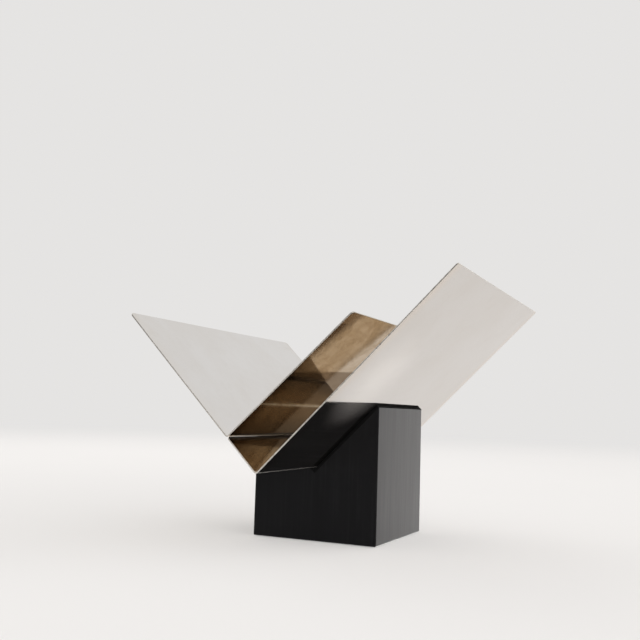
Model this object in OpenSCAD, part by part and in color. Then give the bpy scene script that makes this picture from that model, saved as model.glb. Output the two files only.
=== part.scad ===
// Magnetic desk sculpture: two folded steel sheets held in the V notch of a black magnet block.
// Millimetres, +Z up. The origin is the centre of the block's base, on the desk.
// +X runs towards the long wing's side and -Y is the front.

/* [Block] */
// Side of the cube, from the desk to its top edges
block_side = 64; // [60:1:76]
// Radius of the block's upright corners
block_corner_r = 0.8; // [0.4:0.1:1.5]
// Thickness of the base pad
pad_t = 1.2; // [1:0.1:2]
// How far the base pad stands out below the block
pad_proud = 0.4; // [0.2:0.1:0.8]
// Distance from the base pad's edge to the block's side
pad_inset = 4; // [3:0.5:8]

/* [Flank facings and magnets] */
// Thickness of the rubber facing on each flank of the notch
facing_t = 1.5; // [1:0.1:2]
// Diameter of each disc magnet
magnet_d = 12; // [8:1:14]
// Thickness of each disc magnet
magnet_t = 5; // [3:0.5:6]
// Distance up the flank from the notch's bottom to the lower magnets
magnet_low = 12; // [10:0.5:13]
// Distance up the flank from the notch's bottom to the upper magnets
magnet_high = 30; // [28:0.5:32]
// Spacing of the magnets from front to back
magnet_pitch = 32; // [20:1:38]

/* [Ballast] */
// Diameter of the steel ballast slug
slug_d = 36; // [24:1:42]
// Height of the steel ballast slug
slug_h = 18; // [12:1:19]
// Diameter of the screw that holds the slug
screw_d = 4; // [3:0.5:5]
// Depth of the screw in the block
screw_bite = 8; // [5:0.5:8]

/* [Sheets] */
// Gauge of both sheets
sheet_t = 0.6; // [0.5:0.1:0.8]
// Inside radius of both bends
bend_r = 0.8; // [0.6:0.1:1.5]
// Gap between a sheet and the facing that it lies on
sheet_gap = 0.05; // [0.02:0.01:0.1]

/* [Lower sheet] */
// Size of the lower sheet from front to back
lower_depth = 157; // [120:1:180]
// Length of its long wing from the corner of the bend
long_wing = 120.6; // [90:0.1:140]
// How far it stands out in front of the block
lower_overhang = 57.4; // [0:0.1:70]
// Radius of its outer corners
lower_corner_r = 1.5; // [0.5:0.1:4]
// Gap between its short wing's edge and the upper sheet's bend
wing_gap = 0.1; // [0.1:0.05:1]

/* [Upper sheet] */
// Size of the upper sheet from front to back
upper_depth = 157; // [120:1:180]
// Length of its left wing from the corner of the bend
left_wing = 76.9; // [60:0.1:100]
// Length of its right wing from the corner of the bend
right_wing = 77.3; // [60:0.1:100]
// Slope of its right wing above level
right_slope = 43; // [41:0.5:45]
// How far up the left flank its bend lies from the lower sheet's bend
upper_step = 20.7; // [16:0.1:24]
// How far it stands out in front of the block
upper_overhang = 57.6; // [0:0.1:70]
// Radius of its outer corners
upper_corner_r = 2.2; // [0.5:0.1:4]

/* [Hidden] */
$fn = 64;
eps = 0.01;
hair = 0.02;
bend_steps = 12;
flank = 45;
half = block_side / 2;
notch_z = block_side - half;
flank_len = half / cos(flank);
pad_side = block_side - 2 * pad_inset;
slug_top = pad_t + slug_h;
screw_head_d = 2 * screw_d;
screw_head_h = screw_d / 2;
screw_clearance = 0.25;
screw_slot = 0.8;
bend_outer_r = bend_r + sheet_t;
// Height of the lower sheet's outer corner above the desk
corner_z = notch_z + (facing_t + sheet_gap) / cos(flank);
// The short wing's face meets the upper sheet's bend this far past its corner
bend_rise = bend_outer_r - sqrt(pow(bend_outer_r, 2) - pow(bend_outer_r - sheet_t, 2));
short_wing = upper_step + bend_rise - wing_gap;

// An outline in X and Z, drawn out along Y from y0 for the given depth
module along_y(y0, depth) {
    translate([0, y0 + depth, 0])
        rotate([90, 0, 0])
            linear_extrude(height = depth)
                children();
}

// A square block with round upright corners, from height z0 to z1
module round_cornered(side, r, z0, z1) {
    translate([0, 0, z0])
        linear_extrude(height = z1 - z0)
            union() {
                square([side - 2 * r, side], center = true);
                square([side, side - 2 * r], center = true);
                for (x = [-1, 1])
                    for (y = [-1, 1])
                        translate([x * (side / 2 - r), y * (side / 2 - r)])
                            circle(r = r);
            }
}

// A box centred in plan, from height z0 to z1
module flat_box(side, z0, z1) {
    translate([-side / 2, -side / 2, z0])
        cube([side, side, z1 - z0]);
}

// Places a piece on the right flank: its X runs up the flank and its Z stands out from the flank
module on_right_flank() {
    translate([0, 0, notch_z])
        rotate([0, -flank, 0])
            children();
}

// The same on the left flank
module on_left_flank() {
    mirror([1, 0, 0])
        on_right_flank()
            children();
}

// The four disc magnets of one flank, let in flush with its surface
module magnet_set() {
    for (u = [magnet_low, magnet_high])
        for (y = [-1, 1])
            translate([u, y * magnet_pitch / 2, -magnet_t])
                cylinder(d = magnet_d, h = magnet_t);
}

// A rubber facing that runs up a flank from the given distance
module facing(start) {
    translate([start, -half, 0])
        cube([flank_len - start, block_side, facing_t]);
}

// The block, with its notch, the magnet bores, the ballast bore and the pad's recess
module block() {
    color([0.07, 0.07, 0.075])
        difference() {
            round_cornered(block_side, block_corner_r, pad_proud, block_side);
            along_y(-half - 1, block_side + 2)
                polygon([
                    [0, notch_z],
                    [half + 1, block_side + 1],
                    [-half - 1, block_side + 1]
                ]);
            on_right_flank()
                magnet_set();
            on_left_flank()
                magnet_set();
            flat_box(pad_side, pad_proud - 1, pad_t);
            cylinder(d = slug_d, h = slug_top);
            cylinder(d = screw_d, h = slug_top + screw_bite);
        }
}

// The rubber facing of the right flank, which runs down to the bottom of the notch
module right_facing() {
    color([0.04, 0.04, 0.04])
        on_right_flank()
            facing(0);
}

// The rubber facing of the left flank, which butts against the right one
module left_facing() {
    color([0.04, 0.04, 0.04])
        on_left_flank()
            facing(facing_t);
}

// The disc magnets of the right flank
module right_magnets() {
    color("silver")
        on_right_flank()
            magnet_set();
}

// The disc magnets of the left flank
module left_magnets() {
    color("silver")
        on_left_flank()
            magnet_set();
}

// The steel slug, with its screw hole and its countersink from below
module ballast_slug() {
    hole_d = screw_d + 2 * screw_clearance;
    color([0.45, 0.45, 0.47])
        difference() {
            translate([0, 0, pad_t])
                cylinder(d = slug_d, h = slug_h);
            cylinder(d = hole_d, h = slug_top + 1);
            translate([0, 0, pad_t - eps])
                cylinder(d1 = screw_head_d + 2 * screw_clearance, d2 = hole_d, h = screw_head_h + eps);
        }
}

// The countersunk screw: a cone head with a cross recess, and a shank
module ballast_screw() {
    color("gainsboro")
        translate([0, 0, pad_t])
            difference() {
                union() {
                    cylinder(d1 = screw_head_d, d2 = screw_d, h = screw_head_h);
                    cylinder(d = screw_d, h = slug_h + screw_bite);
                }
                for (turn = [0, 90])
                    rotate([0, 0, turn])
                        translate([-screw_d / 2, -screw_slot / 2, -1])
                            cube([screw_d, screw_slot, 1 + screw_head_h / 2]);
            }
}

// The rubber pad under the block
module base_pad() {
    color([0.05, 0.05, 0.05])
        flat_box(pad_side, 0, pad_t);
}

// Points along an arc about c, from one angle to another
function arc(c, r, from, to) = [
    for (i = [0:bend_steps])
        c + r * [cos(from + (to - from) * i / bend_steps), sin(from + (to - from) * i / bend_steps)]
];

// The section of a folded sheet, in X and Z, with its outer corner at the origin
module folded_section(right, left, slope_right, slope_left) {
    half_angle = (180 - slope_right - slope_left) / 2;
    lean = (slope_left - slope_right) / 2;
    centre = bend_outer_r / sin(half_angle) * [sin(lean), cos(lean)];
    along_right = [cos(slope_right), sin(slope_right)];
    along_left = [-cos(slope_left), sin(slope_left)];
    polygon(concat(
        [left * along_left],
        arc(centre, bend_outer_r, -90 - slope_left, -90 + slope_right),
        [
            right * along_right,
            right * along_right + sheet_t * [-along_right[1], along_right[0]]
        ],
        arc(centre, bend_r, -90 + slope_right, -90 - slope_left),
        [left * along_left + sheet_t * [along_left[1], -along_left[0]]]
    ));
}

// What is cut away to round both outer corners of a wing that lies on z = 0 and runs to x = length.
// The arc stands a hair outside both edges, so that it crosses them cleanly.
module corner_cuts(length, depth, r) {
    for (side = [0, 1])
        translate([length - r, side * depth, -sheet_t])
            mirror([0, side, 0])
                linear_extrude(height = 3 * sheet_t)
                    polygon(concat(
                        [[r + 1, r - hair], [r + 1, -1], [hair, -1]],
                        arc([hair, r - hair], r, -90, 0)
                    ));
}

// A folded sheet; each slope is its wing's angle above level
module folded_sheet(right, left, slope_right, slope_left, depth, r) {
    difference() {
        along_y(0, depth)
            folded_section(right, left, slope_right, slope_left);
        rotate([0, -slope_right, 0])
            corner_cuts(right, depth, r);
        mirror([1, 0, 0])
            rotate([0, -slope_left, 0])
                corner_cuts(left, depth, r);
    }
}

// The lower sheet: its bend lies in the bottom of the notch
module lower_sheet() {
    color([0.78, 0.77, 0.75])
        translate([0, -half - lower_overhang, corner_z])
            folded_sheet(long_wing, short_wing, flank, flank, lower_depth, lower_corner_r);
}

// The upper sheet: its bend lies above the lower sheet's short wing
module upper_sheet() {
    rise = upper_step * sin(flank);
    color([0.72, 0.68, 0.6])
        translate([-rise, -half - upper_overhang, corner_z + rise])
            folded_sheet(right_wing, left_wing, right_slope, flank, upper_depth, upper_corner_r);
}

block();
right_facing();
left_facing();
right_magnets();
left_magnets();
ballast_slug();
ballast_screw();
base_pad();
lower_sheet();
upper_sheet();
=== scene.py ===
import math

import bmesh
import bpy
from bpy.props import FloatProperty, FloatVectorProperty, IntProperty, PointerProperty
from mathutils import Matrix, Vector


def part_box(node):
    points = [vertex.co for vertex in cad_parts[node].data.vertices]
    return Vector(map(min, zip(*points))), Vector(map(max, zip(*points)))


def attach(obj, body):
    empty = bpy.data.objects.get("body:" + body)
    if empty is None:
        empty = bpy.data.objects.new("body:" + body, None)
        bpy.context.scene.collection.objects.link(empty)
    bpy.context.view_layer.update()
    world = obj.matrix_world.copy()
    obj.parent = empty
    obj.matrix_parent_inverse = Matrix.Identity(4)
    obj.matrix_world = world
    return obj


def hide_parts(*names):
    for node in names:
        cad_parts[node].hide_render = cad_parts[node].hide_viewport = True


bl_info = {
    "name": "Magnetic Desk Sculpture",
    "version": (1, 0, 0),
    "blender": (4, 5, 0),
    "location": "3D View > Sidebar > Sculpture",
    "description": "Two folded steel sheets held in the notch of a black magnet block",
    "category": "Object",
}

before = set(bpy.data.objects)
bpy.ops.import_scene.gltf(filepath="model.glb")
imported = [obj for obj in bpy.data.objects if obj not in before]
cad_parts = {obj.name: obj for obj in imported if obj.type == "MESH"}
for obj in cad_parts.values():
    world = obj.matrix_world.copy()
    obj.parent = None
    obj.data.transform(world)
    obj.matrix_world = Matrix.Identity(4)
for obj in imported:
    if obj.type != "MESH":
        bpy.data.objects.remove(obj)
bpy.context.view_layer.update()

BLOCK_LOW, BLOCK_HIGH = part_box("block")
BLOCK_SIDE = BLOCK_HIGH.x - BLOCK_LOW.x
NOTCH = Vector((0.0, 0.0, BLOCK_HIGH.z - BLOCK_SIDE / 2))
FLANK = math.pi / 4
MM = 0.001
SENSOR_WIDTH = 36.0

# Order of a sheet's materials
OUTER_FACE, INNER_FACE, CUT_EDGE = range(3)


# Settings that a user would change


class SheetSettings(bpy.types.PropertyGroup):
    """Gauge, bends and finish of the two folded sheets."""

    gauge: FloatProperty(
        name="Gauge",
        description="Thickness of both sheets",
        default=0.6 * MM,
        unit="LENGTH",
        subtype="DISTANCE",
    )
    bend_radius: FloatProperty(
        name="Bend radius",
        description="Inside radius of both bends",
        default=0.8 * MM,
        unit="LENGTH",
        subtype="DISTANCE",
    )
    flank_slope: FloatProperty(
        name="Flank slope",
        description="Slope of the wings that lie on the notch's flanks",
        default=FLANK,
        unit="ROTATION",
        subtype="ANGLE",
    )
    open_slope: FloatProperty(
        name="Open slope",
        description="Slope of the upper sheet's right wing",
        default=math.radians(43),
        unit="ROTATION",
        subtype="ANGLE",
    )
    lower_corner: FloatProperty(
        name="Lower corners",
        description="Radius of the lower sheet's outer corners",
        default=1.5 * MM,
        unit="LENGTH",
        subtype="DISTANCE",
    )
    upper_corner: FloatProperty(
        name="Upper corners",
        description="Radius of the upper sheet's outer corners",
        default=2.2 * MM,
        unit="LENGTH",
        subtype="DISTANCE",
    )
    edge_round: FloatProperty(
        name="Edge rounding",
        description="Width of the broken edge all round a sheet",
        default=0.09 * MM,
        unit="LENGTH",
        subtype="DISTANCE",
    )
    bow: FloatProperty(
        name="Bow",
        description="How far a wing's free end is out of flat",
        default=0.12 * MM,
        unit="LENGTH",
        subtype="DISTANCE",
    )
    rows: IntProperty(
        name="Rows",
        description="Mesh rows from front to back",
        default=36,
        min=8,
        max=200,
    )
    open_face: FloatVectorProperty(
        name="Open face",
        description="Polished steel of the upper sheet's inner face",
        default=(0.80, 0.785, 0.77),
        size=3,
        subtype="COLOR",
    )
    under_face: FloatVectorProperty(
        name="Underside",
        description="Polished steel of the lower sheet's underside",
        default=(0.65, 0.62, 0.59),
        size=3,
        subtype="COLOR",
    )
    lower_tone: FloatVectorProperty(
        name="Lower tarnish",
        description="Tarnished steel inside the lower sheet's fold",
        default=(0.82, 0.735, 0.66),
        size=3,
        subtype="COLOR",
    )
    upper_tone: FloatVectorProperty(
        name="Upper tarnish",
        description="Tarnished steel on the outside of the upper sheet's fold",
        default=(0.70, 0.61, 0.475),
        size=3,
        subtype="COLOR",
    )
    stain: FloatVectorProperty(
        name="Stain",
        description="How the stain inside the lower sheet tints the steel",
        default=(0.27, 0.20, 0.135),
        size=3,
        subtype="COLOR",
    )
    stain_reach: FloatProperty(
        name="Stain reach",
        description="How far the stain reaches from the lower bend at the sheet's front edge",
        default=19.3 * MM,
        unit="LENGTH",
        subtype="DISTANCE",
    )
    stain_lean: FloatProperty(
        name="Stain lean",
        description="How much further the stain reaches for each length towards the back",
        default=0.09,
    )


class BlockSettings(bpy.types.PropertyGroup):
    """The magnet block, its rubber and what it holds inside."""

    edge_round: FloatProperty(
        name="Edge rounding",
        description="Radius of the block's edges",
        default=0.7 * MM,
        unit="LENGTH",
        subtype="DISTANCE",
    )
    magnet_seat: FloatProperty(
        name="Magnet seat",
        description="Depth of the bores for the disc magnets",
        default=5 * MM,
        unit="LENGTH",
        subtype="DISTANCE",
    )
    facing_thickness: FloatProperty(
        name="Facing thickness",
        description="Thickness of the rubber on both flanks",
        default=1.5 * MM,
        unit="LENGTH",
        subtype="DISTANCE",
    )
    facing_round: FloatProperty(
        name="Facing rounding",
        description="Radius of the rubber facings' edges",
        default=0.12 * MM,
        unit="LENGTH",
        subtype="DISTANCE",
    )
    pad_rib: FloatProperty(
        name="Pad ribs",
        description="Spacing of the ribs under the base pad",
        default=4 * MM,
        unit="LENGTH",
        subtype="DISTANCE",
    )
    lacquer: FloatVectorProperty(
        name="Lacquer",
        description="Colour of the block's lacquer",
        default=(0.0016, 0.0016, 0.0022),
        size=3,
        subtype="COLOR",
    )
    rubber: FloatVectorProperty(
        name="Rubber",
        description="Colour of the facings and the base pad",
        default=(0.004, 0.004, 0.004),
        size=3,
        subtype="COLOR",
    )


class StageSettings(bpy.types.PropertyGroup):
    """Floor, light and camera."""

    floor_radius: FloatProperty(
        name="Floor radius",
        description="Radius of the pale floor",
        default=4.0,
        unit="LENGTH",
        subtype="DISTANCE",
    )
    floor_colour: FloatVectorProperty(
        name="Floor",
        description="Colour of the floor",
        default=(0.85, 0.84, 0.83),
        size=3,
        subtype="COLOR",
    )
    floor_glow: FloatProperty(
        name="Floor glow",
        description="Share of the floor's light that comes from below it",
        default=0.42,
        min=0.0,
        max=1.0,
        subtype="FACTOR",
    )
    backdrop: FloatVectorProperty(
        name="Backdrop",
        description="Colour of the studio round the object",
        default=(0.785, 0.775, 0.765),
        size=3,
        subtype="COLOR",
    )
    fill: FloatVectorProperty(
        name="Fill",
        description="Soft light that the studio sheds on the object and the floor",
        default=(0.75, 0.735, 0.725),
        size=3,
        subtype="COLOR",
    )
    flag: FloatVectorProperty(
        name="Flag",
        description="What the object mirrors from the dark side of the studio",
        default=(0.28, 0.28, 0.29),
        size=3,
        subtype="COLOR",
    )
    key_power: FloatProperty(
        name="Key light",
        description="Power of the key light, above and behind on the left",
        default=2.6,
        unit="POWER",
    )
    key_place: FloatVectorProperty(
        name="Key place",
        description="Where the key light hangs, from the centre of the block's base",
        default=(-0.75, 0.45, 1.1),
        size=3,
        unit="LENGTH",
        subtype="TRANSLATION",
    )
    key_size: FloatProperty(
        name="Key size",
        description="Side of the key light's soft panel",
        default=1.1,
        unit="LENGTH",
        subtype="DISTANCE",
    )
    key_colour: FloatVectorProperty(
        name="Key colour",
        description="Slightly warm colour of the key light",
        default=(1.0, 0.975, 0.94),
        size=3,
        subtype="COLOR",
    )
    side_fill: FloatProperty(
        name="Side fill",
        description="How many times brighter the fill is low on the right",
        default=12.0,
    )
    camera_place: FloatVectorProperty(
        name="Camera place",
        description="Where the camera stands, from the centre of the block's base",
        default=(0.17267, -0.40077, 0.06086),
        size=3,
        unit="LENGTH",
        subtype="TRANSLATION",
    )
    camera_turn: FloatProperty(
        name="Camera turn",
        description="How far the camera is turned to the left of straight ahead",
        default=math.radians(25.04),
        unit="ROTATION",
        subtype="ANGLE",
    )
    camera_rise: FloatProperty(
        name="Camera rise",
        description="How far the camera looks up",
        default=math.radians(6.26),
        unit="ROTATION",
        subtype="ANGLE",
    )
    camera_roll: FloatProperty(
        name="Camera roll",
        description="How far the camera leans",
        default=math.radians(1.83),
        unit="ROTATION",
        subtype="ANGLE",
    )
    lens: FloatProperty(
        name="Lens",
        description="Focal length for a 36 mm sensor",
        default=47.41,
        unit="CAMERA",
    )


# Materials


class Nodes:
    """A node tree under construction, with short ways to add and join its nodes."""

    def __init__(self, tree):
        self.tree = tree

    def node(self, kind, feeds=(), **settings):
        """A new node with its settings, and its inputs fed in order; None leaves an input alone."""
        made = self.tree.nodes.new("ShaderNode" + kind)
        for key, value in settings.items():
            setattr(made, key, value)
        for socket, value in zip(made.inputs, feeds):
            if value is not None:
                self.feed(socket, value)
        return made

    def feed(self, socket, value):
        """Joins a node's output to a socket, or sets the socket to a number or a colour."""
        if isinstance(value, bpy.types.NodeSocket):
            self.tree.links.new(value, socket)
        elif socket.type == "RGBA" and len(value) == 3:
            socket.default_value = (*value, 1.0)
        else:
            socket.default_value = value

    def ramp(self, value, start, end, low=0.0, high=1.0):
        """Smoothly from low to high as the value goes from start to end."""
        feeds = (value, start, end, low, high)
        return self.node("MapRange", feeds, interpolation_type="SMOOTHSTEP").outputs[0]

    def math(self, operation, first, second=0.0):
        """One sum on two values."""
        return self.node("Math", (first, second), operation=operation).outputs[0]

    def blend(self, share, first, second, how="MIX"):
        """Two colours mixed by a share."""
        made = self.node("Mix", data_type="RGBA", blend_type=how)
        self.feed(made.inputs[0], share)
        self.feed(made.inputs[6], first)
        self.feed(made.inputs[7], second)
        return made.outputs[2]

    def tint(self, colour, share, by):
        """A colour multiplied by another where the share says."""
        return self.blend(share, colour, by, "MULTIPLY")


class Finish(Nodes):
    """A material under construction."""

    def __init__(self, name):
        self.material = bpy.data.materials.new(name)
        self.material.use_nodes = True
        super().__init__(self.material.node_tree)
        self.shader = self.tree.nodes["Principled BSDF"]
        self.place = self.node("TexCoord").outputs["Object"]

    def surface(self, **values):
        """Sets or joins the shader's own sockets."""
        for key, value in values.items():
            self.feed(self.shader.inputs[key.replace("_", " ")], value)

    def stretched(self, x, y, z, turn=(0.0, 0.0, 0.0)):
        """The piece's own coordinates, turned and then scaled."""
        turned = self.node("Mapping", (self.place, (0.0, 0.0, 0.0), turn)).outputs[0]
        return self.node("Mapping", (turned, None, None, (x, y, z))).outputs[0]

    def noise(self, scale, detail=3.0, rough=0.5, distort=0.0, where=None):
        """Cloudy noise from 0 to 1."""
        made = self.node("TexNoise")
        self.feed(made.inputs["Vector"], where or self.place)
        self.feed(made.inputs["Scale"], scale)
        self.feed(made.inputs["Detail"], detail)
        self.feed(made.inputs["Roughness"], rough)
        self.feed(made.inputs["Distortion"], distort)
        return made.outputs["Fac"]

    def axis(self, name):
        """One coordinate of the piece."""
        return self.node("SeparateXYZ", (self.place,)).outputs["XYZ".index(name)]

    def from_line(self, x, z):
        """Distance from a line that runs from front to back through a point."""
        flat = self.node("VectorMath", (self.place, (1.0, 0.0, 1.0)), operation="MULTIPLY").outputs[0]
        return self.from_point((x, 0.0, z), flat)

    def from_point(self, point, where=None):
        """Distance from a point."""
        feeds = (where or self.place, point)
        return self.node("VectorMath", feeds, operation="DISTANCE").outputs["Value"]

    def edge_wear(self, radius, start, end):
        """Near 1 on the piece's edges, and 0 on its faces."""
        rounded = self.node("Bevel", (radius,), samples=6).outputs[0]
        true = self.node("NewGeometry").outputs["Normal"]
        along = self.node("VectorMath", (rounded, true), operation="DOT_PRODUCT").outputs["Value"]
        return self.ramp(along, start, end)

    def bump(self, height, distance, strength):
        """A bumped normal from a height."""
        made = self.node("Bump")
        self.feed(made.inputs["Strength"], strength)
        self.feed(made.inputs["Distance"], distance)
        self.feed(made.inputs["Height"], height)
        return made.outputs[0]

    def hairlines(self, centre, spacing, wander, keep):
        """Thin arcs about a centre, as a polishing mop leaves them."""
        moved = self.node("Mapping", (self.place, centre)).outputs[0]
        rings = self.node("TexWave", wave_type="RINGS", rings_direction="SPHERICAL")
        self.feed(rings.inputs["Vector"], moved)
        self.feed(rings.inputs["Scale"], 1.0 / (spacing * 20))
        self.feed(rings.inputs["Distortion"], wander)
        self.feed(rings.inputs["Detail"], 3.0)
        self.feed(rings.inputs["Detail Scale"], 0.6)
        lines = self.ramp(rings.outputs["Fac"], 0.86, 0.99)
        patches = self.ramp(self.noise(60.0, 2.0), keep, keep + 0.12)
        return self.math("MULTIPLY", lines, patches)


class SteelFace(Finish):
    """One face of a polished sheet, built up mark by mark."""

    def __init__(self, name, colour, fold):
        super().__init__(name)
        self.fold = fold
        self.clouds = self.noise(24.0, 4.0, 0.55, 0.4)
        along_wing = self.stretched(70.0, 12.0, 70.0, (0.0, 0.0, 0.35))
        self.smears = self.noise(1.0, 3.0, 0.6, 0.8, along_wing)
        mottle = self.noise(150.0, 3.0, 0.6)
        self.tone = self.tint(tuple(colour), self.ramp(self.clouds, 0.35, 0.7), (0.965, 0.955, 0.94))
        self.tone = self.tint(self.tone, self.ramp(mottle, 0.45, 0.75), (0.985, 0.98, 0.975))
        grain = self.noise(1.0, 2.0, 0.6, 0.0, self.stretched(2600.0, 45.0, 2600.0))
        self.rough = self.ramp(self.clouds, 0.3, 0.75, 0.03, 0.06)
        self.rough = self.math("ADD", self.rough, self.ramp(grain, 0.4, 0.8, 0.0, 0.02))
        self.metal = 1.0
        self.half = (fold["high"] - fold["low"]) / 2
        from_middle = self.math("SUBTRACT", self.axis("Y"), fold["low"] + self.half)
        self.off_centre = self.math("ABSOLUTE", from_middle)
        self.from_bend = self.from_line(fold["corner"].x, fold["corner"].z)

    def mark(self, share, by, rougher=0.0):
        """Tints the steel, and dulls it, where the share says."""
        self.tone = self.tint(self.tone, share, by)
        if rougher:
            self.rough = self.math("ADD", self.rough, self.math("MULTIPLY", share, rougher))

    def rim(self, by, reach):
        """An uneven tone along the front and the back edge."""
        near = self.ramp(self.off_centre, self.half - reach, self.half)
        self.mark(self.math("MULTIPLY", near, self.ramp(self.smears, 0.25, 0.75, 0.6, 1.0)), by)

    def stain(self, by, reach, lean):
        """A stain on the long wing, from the bend out to a leaning line."""
        back = self.math("SUBTRACT", self.axis("Y"), self.fold["low"])
        line = self.math("ADD", self.math("MULTIPLY", back, lean), reach)
        wobble = self.ramp(self.noise(40.0, 2.0), 0.0, 1.0, -0.4 * MM, 0.4 * MM)
        inside = self.math("SUBTRACT", self.math("ADD", line, wobble), self.from_bend)
        stained = self.ramp(inside, -0.35 * MM, 0.35 * MM)
        patchy = self.ramp(self.clouds, 0.25, 0.75, 0.86, 1.0)
        stained = self.math("MULTIPLY", stained, self.ramp(self.axis("X"), -0.4 * MM, 0.4 * MM))
        self.mark(self.math("MULTIPLY", stained, patchy), by)

    def short_wing(self, by, by_tip):
        """Tarnish on the short wing, darker towards its tip, with a painted shadow along the tip
        itself, where it meets the upper sheet's bend.
        """
        on_wing = self.ramp(self.axis("X"), -0.4 * MM, -1.2 * MM)
        self.mark(on_wing, by)
        length = self.fold["left"]
        out = self.ramp(self.from_bend, 4 * MM, length - 2 * MM)
        self.mark(self.math("MULTIPLY", on_wing, out), by_tip)
        # Painted shadow: a dark line along the short wing's tip, under the upper sheet's bend.
        painted_shadow = self.ramp(self.from_bend, length - 2.6 * MM, length - 1.7 * MM)
        self.mark(self.math("MULTIPLY", on_wing, painted_shadow), (0.10, 0.085, 0.07), 0.2)

    def painted_bend_highlight(self, bright, width, less_metal):
        """A painted highlight along the bend: a band painted lighter and rougher, with a share of its
        metal taken away.
        """
        band = self.ramp(self.from_bend, width, width * 0.9)
        patchy = self.ramp(self.noise(320.0, 3.0, 0.6), 0.25, 0.6, 0.7, 1.0)
        band = self.math("MULTIPLY", band, patchy)
        self.tone = self.blend(band, self.tone, bright)
        self.rough = self.math("ADD", self.rough, self.math("MULTIPLY", band, 0.2))
        self.metal = self.math("SUBTRACT", self.metal, self.math("MULTIPLY", band, less_metal))

    def thumb_marks(self, by, rougher=0.12):
        """Smudges where hands take the sheet: at its open corners."""
        blots = self.ramp(self.noise(80.0, 2.5, 0.5, 1.0), 0.44, 0.62)
        at_tip = self.ramp(self.from_bend, self.fold["right"] - 24 * MM, self.fold["right"] - 4 * MM)
        at_side = self.ramp(self.off_centre, self.half - 22 * MM, self.half)
        at_corner = self.math("MULTIPLY", at_tip, at_side)
        self.mark(self.math("MULTIPLY", blots, at_corner), by, rougher)

    def tarnish_clouds(self, by):
        """Uneven clouds of tarnish, with soft swirls."""
        clouds = self.ramp(self.noise(48.0, 5.0, 0.6, 1.6), 0.42, 0.66)
        drawn_out = self.stretched(160.0, 55.0, 160.0)
        swirls = self.ramp(self.noise(1.0, 4.0, 0.6, 2.0, drawn_out), 0.45, 0.7)
        self.mark(clouds, by, 0.02)
        self.mark(self.math("MULTIPLY", swirls, 0.6), by)

    def dust(self, centre, reach, share):
        """A round patch of fine dust that fades out at its reach."""
        uneven = self.ramp(self.smears, 0.2, 0.7, 0.6, 1.0)
        patch = self.ramp(self.from_point(centre), reach, 0.0, 0.0, share)
        patch = self.math("MULTIPLY", patch, uneven)
        self.metal = self.math("SUBTRACT", self.metal, patch)

    def mop_arcs(self):
        """Broken arcs from the polishing mop."""
        arcs = self.hairlines((-0.055, 0.04, -0.11), 0.45 * MM, 0.25, 0.5)
        self.mark(self.math("MULTIPLY", arcs, 0.35), (0.78, 0.72, 0.62), 0.05)

    def done(self):
        """Joins the tone and the roughness to the shader."""
        self.surface(Base_Color=self.tone, Metallic=self.metal, Roughness=self.rough)
        self.surface(Normal=self.bump(self.smears, 0.004 * MM, 0.5))
        return self.material


def sheared_edge():
    """The cut edge of a sheet: duller, with fine draw lines through its thickness."""
    edge = Finish("sheared_edge")
    drag = edge.noise(1.0, 3.0, 0.6, 0.0, edge.stretched(900.0, 2600.0, 900.0))
    tone = edge.blend(edge.ramp(drag, 0.3, 0.7), (0.60, 0.56, 0.50), (0.80, 0.76, 0.70))
    edge.surface(Base_Color=tone, Metallic=1.0, Roughness=edge.ramp(drag, 0.2, 0.8, 0.22, 0.42))
    edge.surface(Normal=edge.bump(drag, 0.01 * MM, 0.6))
    return edge.material


def black_lacquer(colour):
    """Satin black lacquer with a fine upright grain, rubbed a little on its edges."""
    lacquer = Finish("black_lacquer")
    grain = lacquer.noise(1.0, 4.0, 0.6, 0.0, lacquer.stretched(750.0, 750.0, 22.0))
    broad = lacquer.noise(1.0, 3.0, 0.5, 0.3, lacquer.stretched(120.0, 120.0, 14.0))
    broad_dark = lacquer.ramp(broad, 0.35, 0.7)
    specks = lacquer.ramp(lacquer.noise(900.0, 2.0), 0.74, 0.8)
    band = lacquer.edge_wear(0.5 * MM, 0.985, 0.86)
    band = lacquer.math("MULTIPLY", band, lacquer.ramp(lacquer.noise(220.0, 4.0), 0.35, 0.65))
    tone = lacquer.tint(tuple(colour), broad_dark, (0.7, 0.7, 0.72))
    streaks = lacquer.ramp(grain, 0.45, 0.7)
    streaks = lacquer.math("MULTIPLY", streaks, lacquer.ramp(broad, 0.3, 0.65))
    tone = lacquer.blend(streaks, tone, (0.005, 0.005, 0.0058))
    tone = lacquer.blend(lacquer.math("MULTIPLY", band, 0.2), tone, (0.035, 0.033, 0.03))
    tone = lacquer.blend(lacquer.math("MULTIPLY", specks, 0.25), tone, (0.05, 0.05, 0.048))
    rough = lacquer.ramp(grain, 0.3, 0.75, 0.30, 0.42)
    rough = lacquer.math("ADD", rough, lacquer.ramp(broad, 0.3, 0.7, 0.0, 0.06))
    lacquer.surface(Base_Color=tone, Roughness=rough, IOR=1.22)
    lacquer.surface(Sheen_Weight=1.0, Sheen_Roughness=0.3)
    lacquer.surface(Normal=lacquer.bump(grain, 0.02 * MM, 0.35))
    return lacquer.material


def black_rubber(colour):
    """Matt rubber with a fine calendered skin."""
    rubber = Finish("black_rubber")
    skin = rubber.noise(2200.0, 3.0, 0.6)
    dust = rubber.ramp(rubber.noise(260.0, 5.0, 0.7), 0.58, 0.75)
    tone = rubber.blend(rubber.math("MULTIPLY", dust, 0.3), tuple(colour), (0.012, 0.0115, 0.011))
    rubber.surface(Base_Color=tone, Roughness=rubber.ramp(skin, 0.3, 0.7, 0.62, 0.82))
    rubber.surface(IOR=1.45, Specular_IOR_Level=0.02)
    rubber.surface(Normal=rubber.bump(skin, 0.03 * MM, 0.6))
    return rubber.material


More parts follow.
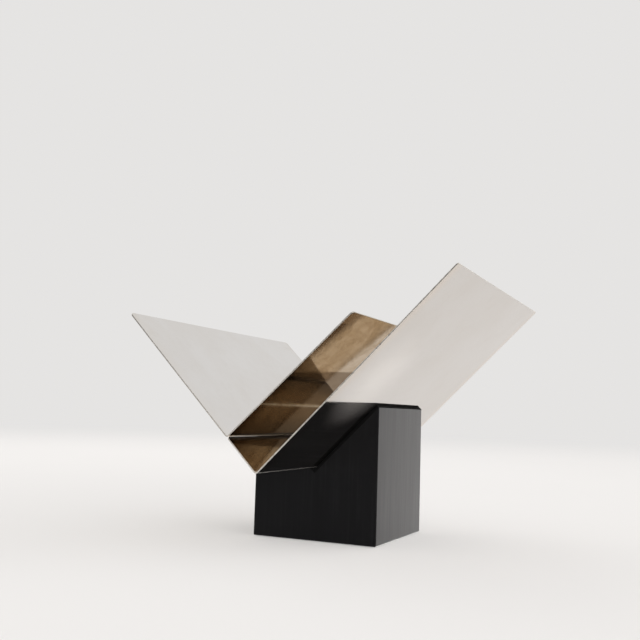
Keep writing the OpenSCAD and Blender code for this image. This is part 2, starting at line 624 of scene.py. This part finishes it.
def plated(name, bright, dull, low, high, grain):
    """Plated or turned metal, with its grain as a scale along X, Y and Z."""
    metal = Finish(name)
    lines = metal.noise(1.0, 3.0, 0.6, 0.0, metal.stretched(*grain))
    clouds = metal.noise(180.0, 4.0, 0.6)
    tone = metal.blend(metal.ramp(clouds, 0.35, 0.7), bright, dull)
    metal.surface(Base_Color=tone, Metallic=1.0, Roughness=metal.ramp(lines, 0.3, 0.75, low, high))
    metal.surface(Normal=metal.bump(lines, 0.01 * MM, 0.5))
    return metal.material


def pale_floor(colour, backdrop, glow):
    """Plain pale floor, lit a little from below, that fades into the backdrop far from the object."""
    floor = Finish("pale_floor")
    clouds = floor.noise(2.2, 2.0, 0.5)
    tone = floor.tint(tuple(colour), floor.ramp(clouds, 0.3, 0.7), (0.985, 0.985, 0.985))
    from_middle = floor.node("VectorMath", (floor.place,), operation="LENGTH").outputs["Value"]
    far = floor.ramp(from_middle, 0.5, 2.2)
    lit = floor.ramp(from_middle, 0.5, 2.2, glow, 1.0)
    tone = floor.tint(tone, 1.0, (1.0 - glow, 1.0 - glow, 1.0 - glow))
    floor.surface(Base_Color=floor.blend(far, tone, (0.0, 0.0, 0.0)))
    floor.surface(Roughness=floor.ramp(clouds, 0.3, 0.7, 0.6, 0.7))
    floor.surface(Emission_Color=tuple(backdrop), Emission_Strength=lit, Specular_IOR_Level=0.0)
    return floor.material


# Meshes


def new_piece(name, mesh_maker, materials):
    """An object in the scene, with the maker's mesh and its materials."""
    mesh = bpy.data.meshes.new(name)
    mesh_maker.to_mesh(mesh)
    mesh_maker.free()
    for material in materials:
        mesh.materials.append(material)
    piece = bpy.data.objects.new(name, mesh)
    bpy.context.scene.collection.objects.link(piece)
    return piece


def shade(maker, crease=math.radians(35)):
    """Smooth faces, with hard edges where the surface turns sharply."""
    bmesh.ops.recalc_face_normals(maker, faces=maker.faces)
    for face in maker.faces:
        face.smooth = True
    for edge in maker.edges:
        edge.smooth = edge.calc_face_angle(0.0) < crease


def break_edges(piece, width):
    """A narrow rounded bevel on every hard edge of a sheet."""
    bevel = piece.modifiers.new("broken_edges", "BEVEL")
    bevel.width = width
    bevel.segments = 2
    bevel.limit_method = "ANGLE"
    bevel.angle_limit = math.radians(40)
    bevel.material = CUT_EDGE


def keep_flat(piece):
    """Flat faces shaded flat, beside rounded edges shaded smooth."""
    weighted = piece.modifiers.new("flat_faces", "WEIGHTED_NORMAL")
    weighted.keep_sharp = True


def finish_piece(piece, body, slot, *nodes):
    """The piece stands for its CAD nodes and moves with their body."""
    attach(piece, body)
    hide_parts(*nodes)


def lower_fold(sheets):
    """Corner, wings and slopes of the lower sheet, from its CAD box."""
    low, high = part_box("lower_sheet")
    slope = sheets.flank_slope
    outer = sheets.bend_radius + sheets.gauge
    drop = outer * (1 / math.cos(slope) - 1)
    return {
        "corner": Vector((0.0, 0.0, low.z - drop)),
        "left": -low.x / math.cos(slope),
        "right": high.x / math.cos(slope),
        "slope_left": slope,
        "slope_right": slope,
        "low": low.y,
        "high": high.y,
        "round": sheets.lower_corner,
    }


def upper_fold(sheets):
    """Corner, wings and slopes of the upper sheet, from its CAD box."""
    low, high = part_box("upper_sheet")
    slope_left, slope_right = sheets.flank_slope, sheets.open_slope
    outer = sheets.bend_radius + sheets.gauge
    half_angle = (math.pi - slope_left - slope_right) / 2
    lean = (slope_left - slope_right) / 2
    corner_z = low.z + outer - outer / math.sin(half_angle) * math.cos(lean)
    corner_x = lower_fold(sheets)["corner"].z - corner_z
    return {
        "corner": Vector((corner_x, 0.0, corner_z)),
        "left": (corner_x - low.x) / math.cos(slope_left),
        "right": (high.x - corner_x) / math.cos(slope_right),
        "slope_left": slope_left,
        "slope_right": slope_right,
        "low": low.y,
        "high": high.y,
        "round": sheets.upper_corner,
    }


def wing_steps(length, corner, spacing=5 * MM, hold=0.15 * MM):
    """Distances from a wing's tip: close together round its corner, then evenly to the bend."""
    round_steps = 8
    steps = [corner * (1 - math.cos(math.pi / 2 * i / round_steps)) for i in range(round_steps + 1)]
    flat = length - hold - corner
    count = max(2, round(flat / spacing))
    steps += [corner + flat * i / count for i in range(1, count + 1)]
    return steps


def section_stations(fold, sheets, bend_steps=10):
    """Stations along a section: middle point, inward direction, distances from the tip and the bend."""
    gauge = sheets.gauge
    outer = sheets.bend_radius + gauge
    half_angle = (math.pi - fold["slope_left"] - fold["slope_right"]) / 2
    lean = (fold["slope_left"] - fold["slope_right"]) / 2
    bend_start = outer / math.tan(half_angle)
    to_centre = Vector((math.sin(lean), 0.0, math.cos(lean)))
    centre = fold["corner"] + outer / math.sin(half_angle) * to_centre

    def wing(length, slope, side):
        along = Vector((side * math.cos(slope), 0.0, math.sin(slope)))
        inward = Vector((-side * math.sin(slope), 0.0, math.cos(slope)))
        stations = []
        for tip in wing_steps(length - bend_start, fold["round"]):
            point = fold["corner"] + along * (length - tip) + inward * (gauge / 2)
            stations.append((point, inward, tip, length - tip))
        return stations

    left = wing(fold["left"], fold["slope_left"], -1)
    right = wing(fold["right"], fold["slope_right"], 1)
    bend = []
    first = -math.pi / 2 - fold["slope_left"]
    sweep = fold["slope_left"] + fold["slope_right"]
    for i in range(bend_steps + 1):
        angle = first + sweep * i / bend_steps
        outward = Vector((math.cos(angle), 0.0, math.sin(angle)))
        bend.append((centre + outward * (outer - gauge / 2), -outward, fold["round"], 0.0))
    return left + bend + right[::-1]


def out_of_flat(fold, sheets, from_bend, y):
    """How far a free wing stands out of flat at a point; what lies on the magnets is flat."""
    grip = BLOCK_SIDE / 2 / math.cos(sheets.flank_slope)
    free = max(0.0, from_bend - grip) / (fold["right"] - grip)
    turn = math.pi * 1.3 * (y - fold["low"]) / (fold["high"] - fold["low"])
    return sheets.bow * free * free * math.cos(turn + 0.6)


def folded_sheet(name, fold, sheets, materials):
    """A folded sheet: an outer face, an inner face and the cut edge between them."""
    maker = bmesh.new()
    stations = section_stations(fold, sheets)
    middle = (fold["low"] + fold["high"]) / 2
    half_depth = (fold["high"] - fold["low"]) / 2
    corner = fold["round"]
    grids = {"outer": [], "inner": []}
    for point, inward, tip, from_bend in stations:
        short = corner - math.sqrt(max(0.0, corner**2 - max(0.0, corner - tip) ** 2))
        for face, offset in (("outer", -sheets.gauge / 2), ("inner", sheets.gauge / 2)):
            row = []
            for j in range(sheets.rows + 1):
                y = middle + (half_depth - short) * (2 * j / sheets.rows - 1)
                out = offset + out_of_flat(fold, sheets, from_bend, y)
                row.append(maker.verts.new(point + inward * out + Vector((0.0, y, 0.0))))
            grids[face].append(row)
    outer, inner = grids["outer"], grids["inner"]
    last, rows = len(stations) - 1, sheets.rows
    for index, grid in ((OUTER_FACE, outer), (INNER_FACE, inner)):
        for here, beyond in zip(grid, grid[1:]):
            for j in range(rows):
                face = maker.faces.new((here[j], beyond[j], beyond[j + 1], here[j + 1]))
                face.material_index = index
    rim = [(i, 0) for i in range(last)] + [(last, j) for j in range(rows)]
    rim += [(i, rows) for i in range(last, 0, -1)] + [(0, j) for j in range(rows, 0, -1)]
    for (i, j), (k, m) in zip(rim, rim[1:] + rim[:1]):
        face = maker.faces.new((outer[i][j], outer[k][m], inner[k][m], inner[i][j]))
        face.material_index = CUT_EDGE
    shade(maker)
    piece = new_piece(name, maker, materials)
    break_edges(piece, sheets.edge_round)
    keep_flat(piece)
    return piece


def prism(outline, low, high):
    """A mesh maker with an outline in X and Z drawn out from front to back."""
    maker = bmesh.new()
    front = [maker.verts.new((x, low, z)) for x, z in outline]
    back = [maker.verts.new((x, high, z)) for x, z in outline]
    maker.faces.new(front)
    maker.faces.new(back[::-1])
    for i in range(len(outline)):
        k = (i + 1) % len(outline)
        maker.faces.new((front[i], back[i], back[k], front[k]))
    bmesh.ops.recalc_face_normals(maker, faces=maker.faces)
    return maker


def round_edges(maker, edges, radius, segments=4):
    """Rounds the given edges."""
    bmesh.ops.bevel(
        maker,
        geom=edges,
        offset=radius,
        segments=segments,
        profile=0.5,
        affect="EDGES",
        clamp_overlap=True,
    )


def flank_matrix(side):
    """Puts a shape on a flank: its X runs up the flank and its Z stands out from it."""
    place = Matrix.Translation(NOTCH) @ Matrix.Rotation(-FLANK, 4, "Y")
    return place if side > 0 else Matrix.Scale(-1, 4, (1, 0, 0)) @ place


def bore(diameter, depth, place):
    """A cutter for a round bore, from just above a surface down to a depth."""
    maker = bmesh.new()
    over = 1 * MM
    bmesh.ops.create_cone(
        maker,
        cap_ends=True,
        segments=64,
        radius1=diameter / 2,
        radius2=diameter / 2,
        depth=depth + over,
        matrix=place @ Matrix.Translation((0.0, 0.0, (over - depth) / 2)),
    )
    bmesh.ops.recalc_face_normals(maker, faces=maker.faces)
    return maker


def cut(piece, makers):
    """Cuts shapes out of a piece."""
    cutters = []
    for i, maker in enumerate(makers):
        cutter = new_piece(f"cutter_{i}", maker, [])
        cutters.append(cutter)
        saw = piece.modifiers.new("cut", "BOOLEAN")
        saw.operation = "DIFFERENCE"
        saw.solver = "EXACT"
        saw.object = cutter
    graph = bpy.context.evaluated_depsgraph_get()
    whole = bpy.data.meshes.new_from_object(piece.evaluated_get(graph))
    piece.modifiers.clear()
    plain = piece.data
    piece.data = whole
    bpy.data.meshes.remove(plain)
    for cutter in cutters:
        mesh = cutter.data
        bpy.data.objects.remove(cutter)
        bpy.data.meshes.remove(mesh)


# Operators


class SCULPTURE_OT_block(bpy.types.Operator):
    """Make the lacquered block, with its notch, its bores and the recess for its base pad"""

    bl_idname = "sculpture.block"
    bl_label = "Block"

    def execute(self, context):
        settings = context.scene.sculpture_block
        half = BLOCK_SIDE / 2
        base, top = BLOCK_LOW.z, BLOCK_HIGH.z
        outline = [(-half, base), (half, base), (half, top), (0.0, NOTCH.z), (-half, top)]
        maker = prism(outline, -half, half)
        outer_edges = [e for e in maker.edges if max(v.co.z for v in e.verts) < NOTCH.z]
        outer_edges += [e for e in maker.edges if abs(e.verts[0].co.z - e.verts[1].co.z) > half]
        round_edges(maker, outer_edges, settings.edge_round)
        piece = new_piece("lacquered_block", maker, [black_lacquer(settings.lacquer)])
        cut(piece, self.cutters(settings))
        maker = bmesh.new()
        maker.from_mesh(piece.data)
        shade(maker)
        maker.to_mesh(piece.data)
        maker.free()
        keep_flat(piece)
        finish_piece(piece, "magnet_block", "black_lacquer", "block")
        return {"FINISHED"}

    def cutters(self, settings):
        """The magnet bores, the pad's recess, the ballast bore and the screw's hole."""
        makers = []
        magnet = self.magnet_size(settings.magnet_seat)
        for side in (-1, 1):
            for along in magnet["along"]:
                for y in magnet["across"]:
                    place = flank_matrix(side) @ Matrix.Translation((along, y, 0.0))
                    makers.append(bore(magnet["diameter"], settings.magnet_seat, place))
        pad_low, pad_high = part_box("base_pad")
        recess = bmesh.new()
        over = 1 * MM
        size = Vector((pad_high.x - pad_low.x, pad_high.y - pad_low.y, pad_high.z + over))
        bmesh.ops.create_cube(recess, size=1.0)
        bmesh.ops.scale(recess, vec=size, verts=recess.verts)
        bmesh.ops.translate(recess, vec=(0.0, 0.0, (pad_high.z - over) / 2), verts=recess.verts)
        makers.append(recess)
        upside_down = Matrix.Rotation(math.pi, 4, "X")
        for node in ("ballast_slug", "ballast_screw"):
            low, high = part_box(node)
            wide = high.x - low.x if node == "ballast_slug" else (high.x - low.x) / 2
            place = Matrix.Translation((0.0, 0.0, low.z)) @ upside_down
            makers.append(bore(wide, high.z - low.z, place))
        return makers

    def magnet_size(self, seat):
        """Diameter and places of the disc magnets on a flank, from their CAD box."""
        low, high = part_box("right_magnets")
        top = (high.z - NOTCH.z) / math.sin(FLANK)
        diameter = self.front_depth(low, high)
        nearest = low.x / math.cos(FLANK)
        first = nearest - seat + diameter / 2
        last = top - diameter / 2
        reach = (high.y - low.y - diameter) / 2
        return {"diameter": diameter, "along": (first, last), "across": (-reach, reach)}

    def front_depth(self, low, high):
        """How deep the front pair of magnets is, which is their diameter."""
        ys = sorted(v.co.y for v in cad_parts["right_magnets"].data.vertices)
        front = [y for y in ys if y < (low.y + high.y) / 2]
        return front[-1] - front[0]


class SCULPTURE_OT_facings(bpy.types.Operator):
    """Lay the rubber facings on the notch's flanks"""

    bl_idname = "sculpture.facings"
    bl_label = "Facings"

    def execute(self, context):
        settings = context.scene.sculpture_block
        rubber = black_rubber(settings.rubber)
        half = BLOCK_SIDE / 2
        length = half / math.cos(FLANK)
        thick = settings.facing_thickness
        for side, node, start in ((1, "right_facing", 0.0), (-1, "left_facing", thick)):
            maker = self.strip(start, length, half, thick, settings.facing_round)
            bmesh.ops.transform(maker, matrix=flank_matrix(side), verts=maker.verts)
            shade(maker)
            piece = new_piece(f"{node}_rubber", maker, [rubber])
            finish_piece(piece, "magnet_block", "black_rubber", node)
        return {"FINISHED"}

    def strip(self, start, length, half, thick, radius):
        """A rubber strip with soft edges, pressed a little thinner between the magnets."""
        maker = prism([(start, 0.0), (length, 0.0), (length, thick), (start, thick)], -half, half)
        top_edges = [e for e in maker.edges if all(v.co.z > thick / 2 for v in e.verts)]
        round_edges(maker, top_edges, radius, 3)
        steps = 16
        for i in range(1, steps):
            self.score(maker, (0.0, -half + 2 * half * i / steps, 0.0), (0.0, 1.0, 0.0))
        for i in range(1, steps):
            self.score(maker, (start + (length - start) * i / steps, 0.0, 0.0), (1.0, 0.0, 0.0))
        for vert in maker.verts:
            if vert.co.z > thick * 0.95:
                ripple = math.sin(vert.co.x * 260) * math.sin(vert.co.y * 196)
                vert.co.z -= 0.02 * MM * (1 + ripple) / 2
        return maker

    def score(self, maker, point, across):
        """Divides every face along a plane."""
        everything = [*maker.verts, *maker.edges, *maker.faces]
        bmesh.ops.bisect_plane(maker, geom=everything, plane_co=point, plane_no=across)


class SCULPTURE_OT_base_pad(bpy.types.Operator):
    """Mould the ribbed rubber pad under the block"""

    bl_idname = "sculpture.base_pad"
    bl_label = "Base pad"

    def execute(self, context):
        settings = context.scene.sculpture_block
        low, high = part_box("base_pad")
        half = (high.x - low.x) / 2
        groove = 0.25 * MM
        count = max(4, round(2 * half / settings.pad_rib))
        pitch = 2 * half / count
        outline = [(-half, high.z), (-half, low.z)]
        for i in range(1, count):
            x = -half + i * pitch
            outline += [(x - pitch / 8, low.z), (x, low.z + groove), (x + pitch / 8, low.z)]
        outline += [(half, low.z), (half, high.z)]
        maker = prism(outline, low.y, high.y)
        touching = 0.001 * MM
        outer = [e for e in maker.edges if abs(e.verts[0].co.x) > half - touching]
        upright = [e for e in outer if abs(e.verts[0].co.z - e.verts[1].co.z) > groove]
        round_edges(maker, upright, 1.5 * MM, 4)
        shade(maker)
        piece = new_piece("ribbed_base_pad", maker, [black_rubber(settings.rubber)])
        finish_piece(piece, "magnet_block", "black_rubber", "base_pad")
        return {"FINISHED"}


class SCULPTURE_OT_inside(bpy.types.Operator):
    """Give the magnets, the ballast slug and its screw their metal finishes"""

    bl_idname = "sculpture.inside"
    bl_label = "Magnets and ballast"

    def execute(self, context):
        even, round_about, rolled = (400.0, 400.0, 400.0), (30.0, 30.0, 1500.0), (900.0, 900.0, 300.0)
        nickel = plated("nickel_plate", (0.66, 0.62, 0.56), (0.60, 0.57, 0.52), 0.10, 0.22, even)
        turned = plated("turned_steel", (0.50, 0.50, 0.51), (0.40, 0.40, 0.41), 0.25, 0.42, round_about)
        zinc = plated("zinc_plate", (0.70, 0.71, 0.72), (0.60, 0.61, 0.63), 0.18, 0.32, rolled)
        finishes = {
            "right_magnets": nickel,
            "left_magnets": nickel,
            "ballast_slug": turned,
            "ballast_screw": zinc,
        }
        for node, finish in finishes.items():
            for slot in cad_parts[node].material_slots:
                slot.material = finish
        return {"FINISHED"}


class SCULPTURE_OT_lower_sheet(bpy.types.Operator):
    """Fold the lower sheet, whose bend lies in the bottom of the notch"""

    bl_idname = "sculpture.lower_sheet"
    bl_label = "Lower sheet"

    def execute(self, context):
        sheets = context.scene.sculpture_sheets
        fold = lower_fold(sheets)
        under = SteelFace("lower_underside", sheets.under_face, fold)
        under.rim((1.06, 1.0, 0.93), 9 * MM)
        # Painted highlight along the bend: a duller, less metallic line.
        under.painted_bend_highlight((0.62, 0.6, 0.56), 1.6 * MM, 0.12)
        front_middle = fold["corner"] + Vector((41 * MM, -58 * MM, 41 * MM))
        under.dust(front_middle, 32 * MM, 0.28)
        inside = SteelFace("lower_inside", sheets.lower_tone, fold)
        inside.rim((0.6, 0.55, 0.5), 26 * MM)
        inside.stain(tuple(sheets.stain), sheets.stain_reach, sheets.stain_lean)
        # The short wing: tarnished, darker towards its tip, with a painted shadow along its tip.
        inside.short_wing((0.50, 0.43, 0.30), (0.40, 0.40, 0.40))
        # Painted highlight along the bottom of the fold.
        inside.painted_bend_highlight((0.8, 0.7, 0.55), 1.75 * MM, 0.5)
        faces = [under.done(), inside.done(), sheared_edge()]
        piece = folded_sheet("lower_folded_sheet", fold, sheets, faces)
        finish_piece(piece, "lower_sheet", "polished_steel", "lower_sheet")
        return {"FINISHED"}


class SCULPTURE_OT_upper_sheet(bpy.types.Operator):
    """Fold the upper sheet, whose bend lies just above the lower sheet's short wing"""

    bl_idname = "sculpture.upper_sheet"
    bl_label = "Upper sheet"

    def execute(self, context):
        sheets = context.scene.sculpture_sheets
        fold = upper_fold(sheets)
        outside = SteelFace("upper_outside", sheets.upper_tone, fold)
        outside.rim((0.42, 0.35, 0.26), 14 * MM)
        outside.tarnish_clouds((0.80, 0.74, 0.64))
        outside.thumb_marks((0.55, 0.48, 0.38))
        outside.mop_arcs()
        # Painted highlight: the bright line along the upper sheet's bend.
        outside.painted_bend_highlight((0.85, 0.74, 0.6), 1.7 * MM, 0.85)
        inside = SteelFace("upper_inside", sheets.open_face, fold)
        inside.rim((1.0, 0.99, 0.97), 9 * MM)
        inside.thumb_marks((0.96, 0.95, 0.93), 0.08)
        faces = [outside.done(), inside.done(), sheared_edge()]
        piece = folded_sheet("upper_folded_sheet", fold, sheets, faces)
        finish_piece(piece, "upper_sheet", "polished_steel", "upper_sheet")
        return {"FINISHED"}


class SCULPTURE_OT_stage(bpy.types.Operator):
    """Lay the pale floor, and set the light and the camera"""

    bl_idname = "sculpture.stage"
    bl_label = "Stage"

    def execute(self, context):
        stage = context.scene.sculpture_stage
        self.floor(stage)
        self.studio(stage)
        self.key_light(stage)
        self.camera(stage)
        context.scene.view_settings.view_transform = "Standard"
        return {"FINISHED"}

    def floor(self, stage):
        maker = bmesh.new()
        bmesh.ops.create_circle(maker, cap_ends=True, segments=128, radius=stage.floor_radius)
        finish = pale_floor(stage.floor_colour, stage.backdrop, stage.floor_glow)
        new_piece("floor", maker, [finish])

    def studio(self, stage):
        """An even pale studio; what mirrors it also finds its dark side, which is the front."""
        world = bpy.data.worlds.new("studio")
        bpy.context.scene.world = world
        world.use_nodes = True
        sky = Nodes(world.node_tree)
        parts = sky.node("SeparateXYZ", (sky.node("TexCoord").outputs["Generated"],)).outputs
        to_right = sky.ramp(parts["X"], 0.0, 0.7)
        to_back = sky.ramp(parts["Y"], -0.45, 0.10)
        near_level = sky.ramp(parts["Z"], 0.5, 0.1)
        beside = sky.math("MULTIPLY", to_right, near_level)
        bright = tuple(stage.side_fill * part for part in stage.fill)
        mirrored = sky.blend(to_back, stage.flag, stage.backdrop)
        shed = sky.blend(beside, stage.fill, bright)
        ray = sky.node("LightPath").outputs
        lit = sky.blend(ray["Is Camera Ray"], shed, stage.backdrop)
        seen = sky.blend(ray["Is Glossy Ray"], lit, mirrored)
        sky.feed(world.node_tree.nodes["Background"].inputs["Color"], seen)

    def key_light(self, stage):
        lamp = bpy.data.lights.new("key_light", "AREA")
        lamp.energy = stage.key_power
        lamp.size = stage.key_size
        lamp.color = stage.key_colour
        key = bpy.data.objects.new("key_light", lamp)
        bpy.context.scene.collection.objects.link(key)
        key.location = stage.key_place
        key.rotation_euler = (NOTCH - key.location).to_track_quat("-Z", "Y").to_euler()
        key.visible_camera = False
        key.visible_glossy = False

    def camera(self, stage):
        data = bpy.data.cameras.new("camera")
        data.lens = stage.lens
        data.sensor_width = SENSOR_WIDTH
        data.clip_start = 0.01
        camera = bpy.data.objects.new("camera", data)
        bpy.context.scene.collection.objects.link(camera)
        turn = Matrix.Rotation(stage.camera_turn, 4, "Z")
        rise = Matrix.Rotation(math.pi / 2 + stage.camera_rise, 4, "X")
        roll = Matrix.Rotation(stage.camera_roll, 4, "Z")
        camera.matrix_world = Matrix.Translation(stage.camera_place) @ turn @ rise @ roll
        bpy.context.scene.camera = camera


class SCULPTURE_PT_panel(bpy.types.Panel):
    """The sculpture's settings, and a button for each of its pieces"""

    bl_idname = "SCULPTURE_PT_panel"
    bl_label = "Magnetic desk sculpture"
    bl_space_type = "VIEW_3D"
    bl_region_type = "UI"
    bl_category = "Sculpture"

    def draw(self, context):
        layout = self.layout
        for name, title in SETTINGS.items():
            box = layout.box()
            box.label(text=title)
            group = getattr(context.scene, name)
            for prop in group.bl_rna.properties:
                if prop.identifier not in ("rna_type", "name"):
                    box.prop(group, prop.identifier)
        for operator in OPERATORS:
            layout.operator(operator.bl_idname)


OPERATORS = (
    SCULPTURE_OT_stage,
    SCULPTURE_OT_block,
    SCULPTURE_OT_facings,
    SCULPTURE_OT_base_pad,
    SCULPTURE_OT_inside,
    SCULPTURE_OT_lower_sheet,
    SCULPTURE_OT_upper_sheet,
)
SETTINGS = {
    "sculpture_sheets": "Sheets",
    "sculpture_block": "Block",
    "sculpture_stage": "Stage",
}
GROUPS = (SheetSettings, BlockSettings, StageSettings)


def register():
    for made in (*GROUPS, *OPERATORS, SCULPTURE_PT_panel):
        bpy.utils.register_class(made)
    for name, group in zip(SETTINGS, GROUPS):
        setattr(bpy.types.Scene, name, PointerProperty(type=group))


def unregister():
    for name in SETTINGS:
        delattr(bpy.types.Scene, name)
    for made in reversed((*GROUPS, *OPERATORS, SCULPTURE_PT_panel)):
        bpy.utils.unregister_class(made)


def main():
    register()
    bpy.ops.sculpture.stage()
    bpy.ops.sculpture.block()
    bpy.ops.sculpture.facings()
    bpy.ops.sculpture.base_pad()
    bpy.ops.sculpture.inside()
    bpy.ops.sculpture.lower_sheet()
    bpy.ops.sculpture.upper_sheet()


if __name__ == "__main__":
    main()
